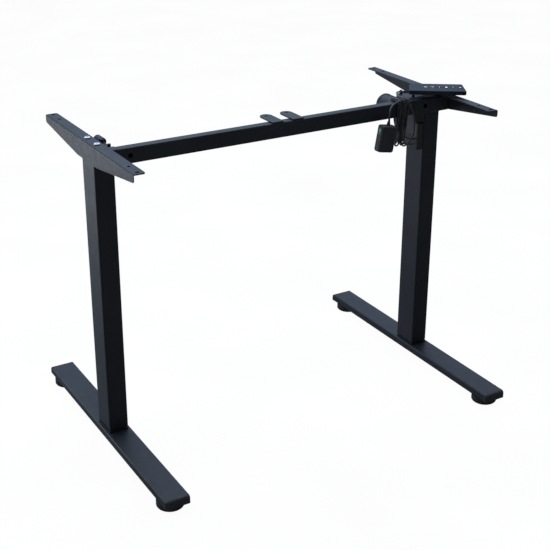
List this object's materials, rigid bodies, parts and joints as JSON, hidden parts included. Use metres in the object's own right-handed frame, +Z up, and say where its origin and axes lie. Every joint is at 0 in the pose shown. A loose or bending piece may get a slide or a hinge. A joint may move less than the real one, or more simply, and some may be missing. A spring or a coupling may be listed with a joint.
{
  "type": "height adjustable standing desk",
  "caption": "Electric height adjustable standing desk frame without its top: telescoping legs on long feet, a crossbeam that widens, side brackets, motor, controls and cables.",
  "frame": {"origin": "on the floor, at the centre of the whole box with the legs closed and the crossbeam at its narrowest; the crossbeam seam is 15 mm to the left of it, because the handset lies past the right bracket", "axes": "+X along the crossbeam to the right leg, +Y to the back of the desk, +Z up"},
  "size_m": [0.901, 0.642, 0.7003],
  "materials": {
    "black_powder_coat": "satin black powder coat, fine orange peel",
    "inner_tube_paint": "satin black paint, wiped with grease",
    "black_moulding": "moulded black plastic with a fine texture",
    "guide_plastic": "acetal guide, smooth black",
    "zinc_bolt": "bright zinc plating",
    "black_bolt": "black oxide",
    "bare_steel": "turned steel, oiled",
    "brass_nut": "machined brass",
    "cast_housing": "painted die casting",
    "motor_paint": "semi-gloss black",
    "brick_shell": "textured black plastic",
    "handset_shell": "fine textured black plastic",
    "key_cap": "smooth black key with a printed symbol",
    "cable_jacket": "black soft jacket",
    "glide_rubber": "black moulded rubber"
  },
  "bodies": {
    "left_leg_lower": {"foot_left": "black_powder_coat", "foot_caps_left": "black_moulding", "foot_bolts_left": "black_bolt", "base_plate_left": "black_powder_coat", "inner_tube_left": "inner_tube_paint", "lift_nut_left": "brass_nut", "inner_guide_left": "guide_plastic"},
    "left_leg_upper": {"outer_tube_left": "black_powder_coat", "mouth_guide_left": "guide_plastic", "side_bracket_left": "black_powder_coat", "bracket_bolts_left": "zinc_bolt", "beam_left": "black_powder_coat", "beam_socket_left": "black_powder_coat", "beam_tab_left": "black_powder_coat", "gearbox_housing_left": "cast_housing", "gearbox_lid_left": "cast_housing"},
    "right_leg_upper": {"outer_tube_right": "black_powder_coat", "mouth_guide_right": "guide_plastic", "side_bracket_right": "black_powder_coat", "bracket_bolts_right": "zinc_bolt", "beam_right": "black_powder_coat", "beam_socket_right": "black_powder_coat", "beam_tab_right": "black_powder_coat", "gearbox_housing_right": "cast_housing", "gearbox_lid_right": "cast_housing", "motor_can": "motor_paint", "motor_end_cap": "motor_paint", "control_box": "brick_shell", "power_brick": "brick_shell", "handset_base": "handset_shell", "handset_top": "handset_shell", "handset_lead": "cable_jacket", "handset_hank": "cable_jacket", "brick_lead": "cable_jacket", "brick_hank": "cable_jacket", "motor_lead": "cable_jacket"},
    "right_leg_lower": {"foot_right": "black_powder_coat", "foot_caps_right": "black_moulding", "foot_bolts_right": "black_bolt", "base_plate_right": "black_powder_coat", "inner_tube_right": "inner_tube_paint", "lift_nut_right": "brass_nut", "inner_guide_right": "guide_plastic"},
    "beam_sleeve": {"beam_sleeve": "bare_steel"},
    "left_screw": {"lead_screw_left": "bare_steel"},
    "right_screw": {"lead_screw_right": "bare_steel"},
    "cross_tube": {"drive_tube": "bare_steel"},
    "cross_rod": {"drive_rod": "bare_steel"},
    "worm": {"worm_shaft": "bare_steel"},
    "glide_left_front": {"glide_left_front": "glide_rubber"},
    "glide_left_back": {"glide_left_back": "glide_rubber"},
    "glide_right_front": {"glide_right_front": "glide_rubber"},
    "glide_right_back": {"glide_right_back": "glide_rubber"},
    "key_up": {"key_up": "key_cap"},
    "key_down": {"key_down": "key_cap"},
    "key_memory_1": {"key_memory_1": "key_cap"},
    "key_memory_2": {"key_memory_2": "key_cap"},
    "key_memory_3": {"key_memory_3": "key_cap"},
    "key_set": {"key_set": "key_cap"}
  },
  "joints": [
    {"name": "lift", "type": "slide", "parent": "left_leg_lower", "child": "left_leg_upper", "axis": [0, 0, 1], "range_m": [0, 0.45]},
    {"name": "beam_width", "type": "slide", "parent": "left_leg_upper", "child": "right_leg_upper", "axis": [1, 0, 0], "range_m": [0, 0.36]},
    {"name": "right_leg_out", "type": "slide", "parent": "right_leg_upper", "child": "right_leg_lower", "axis": [0, 0, -1], "range_m": [0, 0.45]},
    {"name": "sleeve_slide", "type": "slide", "parent": "left_leg_upper", "child": "beam_sleeve", "axis": [1, 0, 0], "range_m": [0, 0.18]},
    {"name": "left_screw_turn", "type": "hinge", "parent": "left_leg_upper", "child": "left_screw", "pos_m": [-0.4215, 0, 0.385], "axis": [0, 0, 1], "range_deg": [0, 20260]},
    {"name": "right_screw_turn", "type": "hinge", "parent": "right_leg_upper", "child": "right_screw", "pos_m": [0.3915, 0, 0.385], "axis": [0, 0, 1], "range_deg": [-20260, 0]},
    {"name": "cross_tube_turn", "type": "hinge", "parent": "left_leg_upper", "child": "cross_tube", "pos_m": [-0.015, 0, 0.653], "axis": [1, 0, 0], "range_deg": [0, 20260]},
    {"name": "cross_rod_turn", "type": "hinge", "parent": "right_leg_upper", "child": "cross_rod", "pos_m": [-0.015, 0, 0.653], "axis": [1, 0, 0], "range_deg": [0, 20260]},
    {"name": "worm_turn", "type": "hinge", "parent": "right_leg_upper", "child": "worm", "pos_m": [0.355, 0, 0.629], "axis": [0, 1, 0], "range_deg": [0, 243120]},
    {"name": "left_front_levelling", "type": "slide", "parent": "left_leg_lower", "child": "glide_left_front", "axis": [0, 0, -1], "range_m": [0, 0.01]},
    {"name": "left_back_levelling", "type": "slide", "parent": "left_leg_lower", "child": "glide_left_back", "axis": [0, 0, -1], "range_m": [0, 0.01]},
    {"name": "right_front_levelling", "type": "slide", "parent": "right_leg_lower", "child": "glide_right_front", "axis": [0, 0, -1], "range_m": [0, 0.01]},
    {"name": "right_back_levelling", "type": "slide", "parent": "right_leg_lower", "child": "glide_right_back", "axis": [0, 0, -1], "range_m": [0, 0.01]},
    {"name": "key_up_press", "type": "slide", "parent": "right_leg_upper", "child": "key_up", "axis": [0, 0, -1], "range_m": [0, 0.0005], "stiffness_N_per_m": 800, "springref_m": -0.0003},
    {"name": "key_down_press", "type": "slide", "parent": "right_leg_upper", "child": "key_down", "axis": [0, 0, -1], "range_m": [0, 0.0005], "stiffness_N_per_m": 800, "springref_m": -0.0003},
    {"name": "key_memory_1_press", "type": "slide", "parent": "right_leg_upper", "child": "key_memory_1", "axis": [0, 0, -1], "range_m": [0, 0.0005], "stiffness_N_per_m": 800, "springref_m": -0.0003},
    {"name": "key_memory_2_press", "type": "slide", "parent": "right_leg_upper", "child": "key_memory_2", "axis": [0, 0, -1], "range_m": [0, 0.0005], "stiffness_N_per_m": 800, "springref_m": -0.0003},
    {"name": "key_memory_3_press", "type": "slide", "parent": "right_leg_upper", "child": "key_memory_3", "axis": [0, 0, -1], "range_m": [0, 0.0005], "stiffness_N_per_m": 800, "springref_m": -0.0003},
    {"name": "key_set_press", "type": "slide", "parent": "right_leg_upper", "child": "key_set", "axis": [0, 0, -1], "range_m": [0, 0.0005], "stiffness_N_per_m": 800, "springref_m": -0.0003}
  ],
  "couplings": [
    {"joint": "right_leg_out", "follows": "lift", "ratio": 1},
    {"joint": "sleeve_slide", "follows": "beam_width", "ratio": 0.5},
    {"joint": "left_screw_turn", "follows": "lift", "rad_per_m": 785.4},
    {"joint": "right_screw_turn", "follows": "lift", "rad_per_m": -785.4},
    {"joint": "cross_tube_turn", "follows": "lift", "rad_per_m": 785.4},
    {"joint": "cross_rod_turn", "follows": "lift", "rad_per_m": 785.4},
    {"joint": "worm_turn", "follows": "lift", "rad_per_m": 9424.8}
  ]
}
